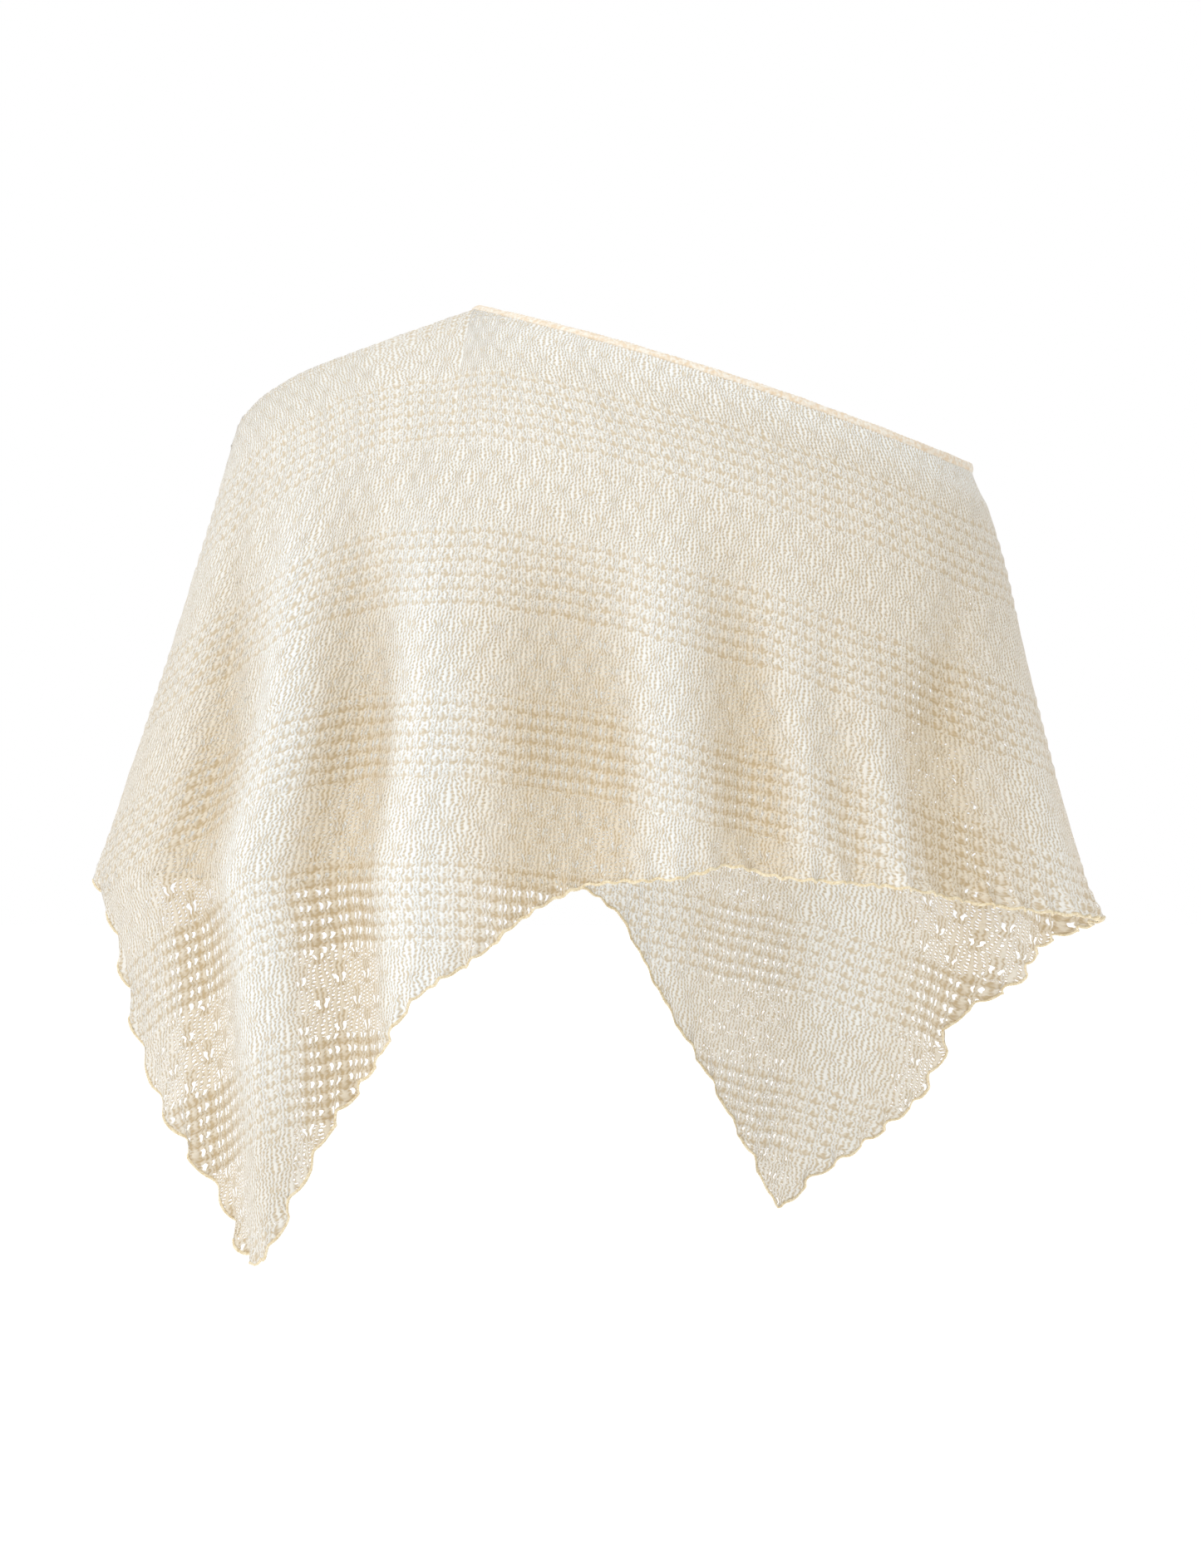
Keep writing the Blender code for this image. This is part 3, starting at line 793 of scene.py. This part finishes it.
def ladder_nodes(n, strand, drawn, down):
    """The small gaps between neighbouring strands, stepped from one course to the next."""
    place = n.maths("MULTIPLY_ADD", down, 1.0 / COURSE, n.maths("MULTIPLY", drawn, 0.5 / WALE))
    course = n.maths("MULTIPLY_ADD", n.maths("COSINE", n.maths("MULTIPLY", place, 2.0 * math.pi)), 0.5, 0.5)
    return n.maths("MULTIPLY", n.maths("SUBTRACT", 1.0, strand), course)


def close_fan_nodes(n, across, down, ragged):
    """Small close fans in straight columns, narrow at the foot, with painted shade beside them and between
    their rows.
    """
    beat = n.maths("COSINE", n.maths("MULTIPLY", across, 2.0 * math.pi / CLOSE_WIDTH))
    down = n.maths("SUBTRACT", down, n.maths("MULTIPLY", beat, ROW_WAVE))
    down = n.maths("MULTIPLY_ADD", ragged, CLOSE_RAGGED, down)
    strand, drawn, side, rise = fan_nodes(n, across, down, CLOSE_WIDTH, CLOSE_HEIGHT, CLOSE_PULL, False)
    eyelet = eyelet_nodes(n, side, rise, *CLOSE_EYELETS)
    lean = n.maths("MULTIPLY_ADD", rise, -TUFT_SPREAD, side)
    beside = n.ramp(n.maths("MULTIPLY_ADD", ragged, TUFT_RAGGED, lean), 0.0, TUFT_EDGE)
    beside = n.maths("MULTIPLY", beside, n.maths("SUBTRACT", 1.0, n.ramp(rise, *TUFT_FADE)))
    line = n.maths(
        "MAXIMUM",
        n.ramp(rise, *LINE_ABOVE),
        n.maths("SUBTRACT", 1.0, n.ramp(rise, *LINE_BELOW)),
    )
    strength = n.maths("MULTIPLY_ADD", n.ramp(side, *LINE_SIDE), LINE_AT_SIDE, LINE_AT_MIDDLE)
    line = n.maths("MULTIPLY", line, strength)
    line = n.maths("MULTIPLY", line, n.maths("MULTIPLY_ADD", ragged, LINE_RAGGED, LINE_SHADE))
    # Painted shade beside the fans and between their rows
    shade_mark = n.maths("MAXIMUM", n.maths("MULTIPLY", beside, TUFT_SHADE), line)
    gap = ladder_nodes(n, strand, drawn, down)
    return strand, eyelet, shade_mark, gap


def wide_fan_nodes(n, across, down, ragged):
    """Large fans set alternately in a net of small round gaps."""
    down = n.maths("MULTIPLY_ADD", ragged, WIDE_RAGGED, down)
    strand, drawn, side, rise = fan_nodes(n, across, down, WIDE_WIDTH, WIDE_HEIGHT, WIDE_PULL, True)
    eyelet = eyelet_nodes(n, side, rise, *WIDE_EYELETS)
    gap = ladder_nodes(n, strand, drawn, down)
    net = n.maths("MULTIPLY", n.ramp(gap, *NET_GAP), n.ramp(side, *NET_SIDE))
    # Painted shade at the fan's foot
    foot_shade = n.maths(
        "MULTIPLY",
        n.maths("SUBTRACT", 1.0, n.ramp(side, *FOOT_SHADE_SIDE)),
        n.maths("SUBTRACT", 1.0, n.ramp(rise, *FOOT_SHADE_RISE)),
    )
    return strand, n.maths("MAXIMUM", eyelet, n.maths("MULTIPLY", net, NET_SHARE)), foot_shade, gap


# Unevenness of the rows and wales, slow and quick
SWAYS = (
    # noise scale, sway in mm
    (0.05, 3.0),
    (0.3, 0.9),
)
ROW_SWAY = 1.3
ZIGZAG = 0.3
RAGGED_SCALE = 0.45
FIBRE_SCALE = 0.8
BLOTCH_SCALE = 0.03

# Height of the yarn's surface, from 0 to 1: its base, its strands, and what each detail takes; the same
# height sets the painted light and shade of its colour
BASE_LEVEL = 0.40
STRAND_LEVEL = 0.54
CLOSE_LEVEL = 0.15
STITCH_LIFT = 1.5
STITCH_DEPTH = 0.12
GAP_DEPTH = 0.55
SHADE_MARK_DEPTH = 0.64
EYELET_DEPTH = 0.56
FIBRE_DEPTH = 0.35
FOOT_SHADE_SHARE = 0.4
SHADED_LEVEL = 0.10
LIT_LEVEL = 0.74

# How far an eyelet is open: with the stretch, with the unevenness, and at rest
HOLE_STRETCH = 1.8
HOLE_RAGGED = 1.3
HOLE_REST = -0.48
HOLE_CLOSED = 0.30
HOLE_OPEN = 0.52

# Yarn: how tan its lit tone turns where it is stretched and in the painted shade of the fold troughs, its
# blotches, its relief and its shine
TAN_SHARE = 0.9
BLOTCH_SHARE = 0.10
BUMP_HEIGHT = 0.0007
THROUGH_SHARE = 0.28
DEEP_ROUGHNESS = 0.95
TOP_ROUGHNESS = 0.72
SHEEN = 0.3

# Tones of the yarn: its lit top and the painted shade of its depths, and then both where it is stretched
# and in the fold troughs, painted tanner and darker
CREAM = (0.89, 0.92, 0.935, 1.0)
SHADE = (0.62, 0.54, 0.41, 1.0)
TAN = (0.68, 0.595, 0.46, 1.0)
DEEP = (0.48, 0.365, 0.215, 1.0)


def lace_material():
    """Fine cream lace: strands gathered in fans, a net of small gaps, with warm painted shade in its depths
    and fold troughs.
    """
    material = bpy.data.materials.new("lace_knit")
    n = Nodes(material)
    uv = n.add("ShaderNodeUVMap", uv_map="knit").outputs[0]
    split = n.add("ShaderNodeSeparateXYZ")
    n.put(uv, split.inputs[0])
    across, down = split.outputs[0], split.outputs[1]
    open_and_painted_shade = n.add("ShaderNodeAttribute", attribute_name="open_and_painted_shade").outputs["Fac"]

    # Uneven rows and wales
    for scale, sway in SWAYS:
        waver = n.add("ShaderNodeTexNoise", noise_dimensions="2D")
        n.put(uv, waver.inputs["Vector"])
        n.put(scale, waver.inputs["Scale"])
        n.put(1.0, waver.inputs["Detail"])
        parts = n.add("ShaderNodeSeparateColor")
        n.put(waver.outputs["Color"], parts.inputs[0])
        across = n.maths("MULTIPLY_ADD", n.maths("SUBTRACT", parts.outputs[0], 0.5), sway, across)
        down = n.maths("MULTIPLY_ADD", n.maths("SUBTRACT", parts.outputs[1], 0.5), ROW_SWAY * sway, down)

    # Each strand zigzags from stitch to stitch
    zigzag = n.maths("SINE", n.maths("MULTIPLY", down, math.pi / COURSE))
    across = n.maths("MULTIPLY_ADD", zigzag, ZIGZAG, across)

    rough = n.add("ShaderNodeTexNoise", noise_dimensions="2D")
    n.put(uv, rough.inputs["Vector"])
    n.put(RAGGED_SCALE, rough.inputs["Scale"])
    n.put(2.0, rough.inputs["Detail"])
    ragged = n.maths("SUBTRACT", rough.outputs["Fac"], 0.5)
    close = close_fan_nodes(n, across, down, ragged)
    wide = wide_fan_nodes(n, across, down, ragged)
    phase = n.maths("FRACT", n.maths("DIVIDE", n.maths("SUBTRACT", down, BAND_START), BAND_PERIOD))
    in_close = n.maths(
        "MULTIPLY",
        n.ramp(phase, 0.0, BAND_EDGE),
        n.maths("SUBTRACT", 1.0, n.ramp(phase, CLOSE_SHARE, CLOSE_SHARE + BAND_EDGE)),
    )
    strand = n.mix(in_close, wide[0], close[0])
    eyelet = n.mix(in_close, wide[1], close[1])
    # Painted shade marks of both bands
    shade_mark = n.mix(in_close, n.maths("MULTIPLY", wide[2], FOOT_SHADE_SHARE), close[2])
    gap = n.mix(in_close, wide[3], close[3])

    # Single stitches and loose fibres
    lift = n.maths("MULTIPLY", strand, STITCH_LIFT)
    stitch = n.maths("SINE", n.maths("MULTIPLY_ADD", down, 2.0 * math.pi / COURSE, lift))
    stitch = n.maths("MULTIPLY_ADD", stitch, 0.5, 0.5)
    fibre = n.add("ShaderNodeTexNoise", noise_dimensions="2D")
    n.put(uv, fibre.inputs["Vector"])
    n.put(FIBRE_SCALE, fibre.inputs["Scale"])
    n.put(4.0, fibre.inputs["Detail"])
    fuzz = n.maths("SUBTRACT", fibre.outputs["Fac"], 0.5)

    body = n.maths("MULTIPLY_ADD", strand, STRAND_LEVEL, BASE_LEVEL)
    body = n.maths("MULTIPLY_ADD", in_close, CLOSE_LEVEL, body)
    body = n.maths("MULTIPLY", body, n.maths("MULTIPLY_ADD", stitch, STITCH_DEPTH, 1.0 - STITCH_DEPTH))
    for detail, depth in ((gap, GAP_DEPTH), (shade_mark, SHADE_MARK_DEPTH), (eyelet, EYELET_DEPTH)):
        body = n.maths("MULTIPLY", body, n.maths("SUBTRACT", 1.0, n.maths("MULTIPLY", detail, depth)))
    body = n.maths("MULTIPLY_ADD", fuzz, FIBRE_DEPTH, body)
    # Painted light and shade: the lower the yarn's surface, the darker its colour, so gaps, shade lines and
    # eyelets are painted in shade
    level = n.ramp(body, SHADED_LEVEL, LIT_LEVEL)

    # Eyelets open where the cloth is stretched and close where it is pushed together
    at_rest = n.maths("MULTIPLY_ADD", ragged, HOLE_RAGGED, HOLE_REST)
    reach = n.maths("MAXIMUM", n.maths("MULTIPLY_ADD", open_and_painted_shade, HOLE_STRETCH, at_rest), 0.0)
    hole = n.ramp(n.maths("MULTIPLY", eyelet, reach), HOLE_CLOSED, HOLE_OPEN)
    solid = n.maths("SUBTRACT", 1.0, hole)

    # Painted shade: low places take SHADE and DEEP, and the fold troughs turn both tones tanner and darker
    low_tone = n.colour(open_and_painted_shade, SHADE, DEEP)
    high_tone = n.colour(n.maths("MULTIPLY", open_and_painted_shade, TAN_SHARE), CREAM, TAN)
    tone = n.colour(level, low_tone, high_tone)
    blotch = n.add("ShaderNodeTexNoise", noise_dimensions="2D")
    n.put(uv, blotch.inputs["Vector"])
    n.put(BLOTCH_SCALE, blotch.inputs["Scale"])
    tone = n.colour(n.maths("MULTIPLY", blotch.outputs["Fac"], BLOTCH_SHARE), tone, SHADE)

    bump = n.add("ShaderNodeBump")
    n.put(1.0, bump.inputs["Strength"])
    n.put(BUMP_HEIGHT, bump.inputs["Distance"])
    n.put(body, bump.inputs["Height"])

    shader = n.add("ShaderNodeBsdfPrincipled")
    n.put(tone, shader.inputs["Base Color"])
    n.put(n.mix(level, DEEP_ROUGHNESS, TOP_ROUGHNESS), shader.inputs["Roughness"])
    n.put(SHEEN, shader.inputs["Sheen Weight"])
    n.put(0.5, shader.inputs["Sheen Roughness"])
    n.put(0.25, shader.inputs["Specular IOR Level"])
    n.put(bump.outputs[0], shader.inputs["Normal"])
    through = n.add("ShaderNodeBsdfTranslucent")
    n.put(tone, through.inputs["Color"])
    cloth = n.add("ShaderNodeMixShader")
    n.put(THROUGH_SHARE, cloth.inputs[0])
    n.put(shader.outputs[0], cloth.inputs[1])
    n.put(through.outputs[0], cloth.inputs[2])
    clear = n.add("ShaderNodeBsdfTransparent")
    whole = n.add("ShaderNodeMixShader")
    n.put(solid, whole.inputs[0])
    n.put(clear.outputs[0], whole.inputs[1])
    n.put(cloth.outputs[0], whole.inputs[2])
    output = n.add("ShaderNodeOutputMaterial")
    n.put(whole.outputs[0], output.inputs["Surface"])
    return material


def thread_material(name, light, dark, scale):
    """Yarn of the edges: warm thread with fine fibre."""
    material = bpy.data.materials.new(name)
    n = Nodes(material)
    place = n.add("ShaderNodeTexCoord").outputs["Object"]
    fibre = n.add("ShaderNodeTexNoise")
    n.put(place, fibre.inputs["Vector"])
    n.put(scale, fibre.inputs["Scale"])
    n.put(4.0, fibre.inputs["Detail"])
    tone = n.colour(n.ramp(fibre.outputs["Fac"], 0.3, 0.7), dark, light)
    bump = n.add("ShaderNodeBump")
    n.put(0.6, bump.inputs["Strength"])
    n.put(0.0005, bump.inputs["Distance"])
    n.put(fibre.outputs["Fac"], bump.inputs["Height"])
    shader = n.add("ShaderNodeBsdfPrincipled")
    n.put(tone, shader.inputs["Base Color"])
    n.put(0.8, shader.inputs["Roughness"])
    n.put(SHEEN, shader.inputs["Sheen Weight"])
    n.put(bump.outputs[0], shader.inputs["Normal"])
    output = n.add("ShaderNodeOutputMaterial")
    n.put(shader.outputs[0], output.inputs["Surface"])
    return material


# Hem thread: its place below the cloth's edge, mesh step, length of a wrap, radius and flatness
HEM_OUT = 0.35
HEM_STEP = 0.42
HEM_SIDES = 10
HEM_WRAP = 1.7
HEM_RADIUS = 0.50
HEM_WRAP_HEIGHT = 0.26
HEM_WRAP_POWER = 0.7
HEM_STRETCH = 1.25

# Neck strip: its place from the cloth's edge, mesh step, length of a stitch, radius and width
NECK_AWAY = 1.3
NECK_IN = 0.75
NECK_STEP = 0.62
NECK_SIDES = 16
NECK_STITCH = 2.45
NECK_RADIUS = 0.95
NECK_STITCH_HEIGHT = 0.22
NECK_STRETCH = 2.6


def even_steps(line, step, others):
    """A line's points at even steps, with its other vectors carried along."""
    lengths = np.linalg.norm(np.diff(line, axis=0), axis=1)
    travelled = np.concatenate(((0.0,), np.cumsum(lengths)))
    count = int(round(travelled[-1] / step))
    places = np.linspace(0.0, travelled[-1], count + 1)

    def carried(values):
        return np.stack([np.interp(places, travelled, values[:, k]) for k in range(3)], axis=1)

    return places, carried(line), [carried(values) for values in others]


def unit(vectors):
    return vectors / np.maximum(np.linalg.norm(vectors, axis=-1, keepdims=True), 1e-9)


def tube_mesh(name, line, outward, away, radius_grid, stretch):
    """A tube round a line: radius_grid has a row for each point and a column for each side."""
    count, sides = radius_grid.shape
    turn = np.linspace(0.0, 2.0 * np.pi, sides, endpoint=False)
    ring = (
        outward[:, None, :] * (np.cos(turn) * radius_grid)[..., None]
        + away[:, None, :] * (np.sin(turn) * radius_grid * stretch)[..., None]
    )
    points = (line[:, None, :] + ring).reshape(-1, 3)
    column = np.arange(sides)
    following = (column + 1) % sides
    start = (np.arange(count - 1) * sides)[:, None]
    faces = np.stack(
        (start + column, start + following, start + sides + following, start + sides + column), axis=-1
    ).reshape(-1, 4)
    return make_mesh(name, points, faces)


def make_hem_edge(name, points, normals, material):
    """Overlock thread wrapped round the hem, stretched with its scallops."""
    hem = points[-1]
    along = unit(np.gradient(hem, axis=0))
    away = unit(np.cross(normals[-1], along))
    if np.mean(away[:, 2]) > 0.0:
        away = -away
    places, line, (outward, away) = even_steps(hem + away * HEM_OUT, HEM_STEP, (normals[-1], away))
    outward = unit(outward)
    away = unit(away)
    turn = np.linspace(0.0, 2.0 * np.pi, HEM_SIDES, endpoint=False)
    wraps = np.abs(np.sin(np.pi * places[:, None] / HEM_WRAP + 0.5 * turn[None]))
    uneven = 1.0 + 0.12 * np.sin(places / 3.1) + 0.10 * np.sin(places / 7.7 + 1.3)
    radius = (HEM_RADIUS + HEM_WRAP_HEIGHT * wraps**HEM_WRAP_POWER) * uneven[:, None]
    edge = tube_mesh(name, line, outward, away, radius, HEM_STRETCH)
    edge.data.materials.append(material)
    return edge


def make_neck_edge(name, material):
    """The neck's turned strip: a flat roll with its own small stitches."""
    fine = np.linspace(PEAK_ANGLE, 360.0, 700)
    back = np.linspace(0.0, 360.0 - PEAK_ANGLE, 700)[1:-1]
    turns = np.concatenate((fine, back))
    base = top_point(turns)
    away = -outward_slope(turns)
    base = np.concatenate((base, base[:1]))
    away = np.concatenate((away, away[:1]))
    along = unit(np.gradient(base, axis=0))
    places, line, (along, away) = even_steps(base, NECK_STEP, (along, away))
    away = unit(away)
    outward = unit(np.cross(along, away))
    middle_x = 0.5 * (NECK_LEFT + NECK_RIGHT)
    if np.mean(np.sum(outward * (line - (middle_x, 0.0, 0.0)) * (1.0, 1.0, 0.0), axis=1)) < 0.0:
        outward = -outward
    middle = line + away * NECK_AWAY - outward * NECK_IN
    turn = np.linspace(0.0, 2.0 * np.pi, NECK_SIDES, endpoint=False)
    stitches = np.abs(np.sin(np.pi * places[:, None] / NECK_STITCH + 0.5 * np.sin(turn)[None]))
    uneven = 1.0 + 0.05 * np.sin(places / 9.0) + 0.05 * np.sin(places / 4.3 + 0.7)
    radius = (NECK_RADIUS + NECK_STITCH_HEIGHT * stitches) * uneven[:, None]
    edge = tube_mesh(name, middle, outward, away, radius, NECK_STRETCH)
    edge.data.materials.append(material)
    return edge


# Yarn of the edges: its light and dark tones, and the scale of its fibre
HEM_LIGHT = (0.76, 0.69, 0.52, 1.0)
HEM_DARK = (0.58, 0.46, 0.27, 1.0)
HEM_FIBRE = 700.0
NECK_LIGHT = (0.76, 0.73, 0.66, 1.0)
NECK_DARK = (0.66, 0.53, 0.38, 1.0)
NECK_FIBRE = 420.0

lace = lace_material()
hem_thread = thread_material("hem_thread", HEM_LIGHT, HEM_DARK, HEM_FIBRE)
binding = thread_material("neck_binding", NECK_LIGHT, NECK_DARK, NECK_FIBRE)

front_cloth, front_points, front_normals = make_cloth("front_lace", 180.0, 360.0, lace)
back_cloth, back_points, back_normals = make_cloth("back_lace", 0.0, 180.0, lace)
front_hem = make_hem_edge("front_hem_thread", front_points, front_normals, hem_thread)
back_hem = make_hem_edge("back_hem_thread", back_points, back_normals, hem_thread)
neck = make_neck_edge("neck_binding", binding)

for piece, node, slot in (
    (front_cloth, "front_panel", "lace_knit"),
    (back_cloth, "back_panel", "lace_knit"),
    (front_hem, "front_hem_edge", "hem_thread"),
    (back_hem, "back_hem_edge", "hem_thread"),
    (neck, "neck_edge", "neck_binding"),
):
    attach(piece, "root")
    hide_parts(node)


# Studio: the world's light, the floor's glow and its place, and the lamps, in metres and watts
WORLD_LIGHT = 0.55
FLOOR_GLOW = 0.6
FLOOR_LEVEL = -1.35
FLOOR_REACH = 40.0
LAMPS = (
    # name, place, aim, power, size
    ("key", (-2.3, -2.2, 1.6), (0.0, 0.0, -0.25), 50.0, 1.6),
    ("fill", (2.2, -1.9, 1.7), (0.0, 0.0, -0.3), 18.0, 2.0),
    ("top", (-0.7, -0.7, 2.6), (0.0, 0.0, -0.2), 30.0, 1.6),
    ("back", (0.6, 2.6, 1.6), (0.0, 0.0, -0.25), 17.0, 1.6),
)


def make_floor():
    """A pale floor well below the hem, as under a standing wearer."""
    corners = [
        (-FLOOR_REACH, -FLOOR_REACH, FLOOR_LEVEL),
        (FLOOR_REACH, -FLOOR_REACH, FLOOR_LEVEL),
        (FLOOR_REACH, FLOOR_REACH, FLOOR_LEVEL),
        (-FLOOR_REACH, FLOOR_REACH, FLOOR_LEVEL),
    ]
    mesh = bpy.data.meshes.new("floor")
    mesh.from_pydata(corners, [], [(0, 1, 2, 3)])
    floor = bpy.data.objects.new("floor", mesh)
    bpy.context.scene.collection.objects.link(floor)
    material = bpy.data.materials.new("floor")
    n = Nodes(material)
    shader = n.add("ShaderNodeBsdfPrincipled")
    n.put((0.93, 0.93, 0.93, 1.0), shader.inputs["Base Color"])
    n.put(0.9, shader.inputs["Roughness"])
    n.put((1.0, 1.0, 1.0, 1.0), shader.inputs["Emission Color"])
    n.put(FLOOR_GLOW, shader.inputs["Emission Strength"])
    output = n.add("ShaderNodeOutputMaterial")
    n.put(shader.outputs[0], output.inputs["Surface"])
    mesh.materials.append(material)


def make_lamp(name, place, aim, power, size):
    data = bpy.data.lights.new(name, "AREA")
    data.energy = power
    data.shape = "DISK"
    data.size = size
    lamp = bpy.data.objects.new(name, data)
    bpy.context.scene.collection.objects.link(lamp)
    lamp.location = place
    direction = np.array(aim) - np.array(place)
    flat = math.hypot(direction[0], direction[1])
    lamp.rotation_euler = (
        math.atan2(flat, -direction[2]),
        0.0,
        math.atan2(direction[1], direction[0]) - 0.5 * math.pi,
    )


def make_world():
    world = bpy.data.worlds.new("studio")
    bpy.context.scene.world = world
    world.use_nodes = True
    tree = world.node_tree
    background = tree.nodes["Background"]
    background.inputs["Color"].default_value = (1.0, 0.985, 0.95, 1.0)
    background.inputs["Strength"].default_value = WORLD_LIGHT
    seen = tree.nodes.new("ShaderNodeBackground")
    seen.inputs["Color"].default_value = (1.0, 1.0, 1.0, 1.0)
    seen.inputs["Strength"].default_value = 1.0
    path = tree.nodes.new("ShaderNodeLightPath")
    choose = tree.nodes.new("ShaderNodeMixShader")
    tree.links.new(path.outputs["Is Camera Ray"], choose.inputs[0])
    tree.links.new(background.outputs[0], choose.inputs[1])
    tree.links.new(seen.outputs[0], choose.inputs[2])
    tree.links.new(choose.outputs[0], tree.nodes["World Output"].inputs["Surface"])
    bpy.context.scene.view_settings.view_transform = "Standard"


def make_camera():
    data = bpy.data.cameras.new("camera")
    data.sensor_fit = "VERTICAL"
    half_height = 0.5 * PHOTO_HEIGHT * PIXEL
    data.angle = 2.0 * math.atan(half_height / CAMERA_DISTANCE)
    data.clip_end = 100.0
    camera = bpy.data.objects.new("camera", data)
    bpy.context.scene.collection.objects.link(camera)
    camera.location = (0.0, -CAMERA_DISTANCE * MM, CAMERA_HEIGHT * MM)
    camera.rotation_euler = (0.5 * math.pi, 0.0, 0.0)
    bpy.context.scene.camera = camera


make_floor()
make_world()
for lamp_values in LAMPS:
    make_lamp(*lamp_values)
make_camera()
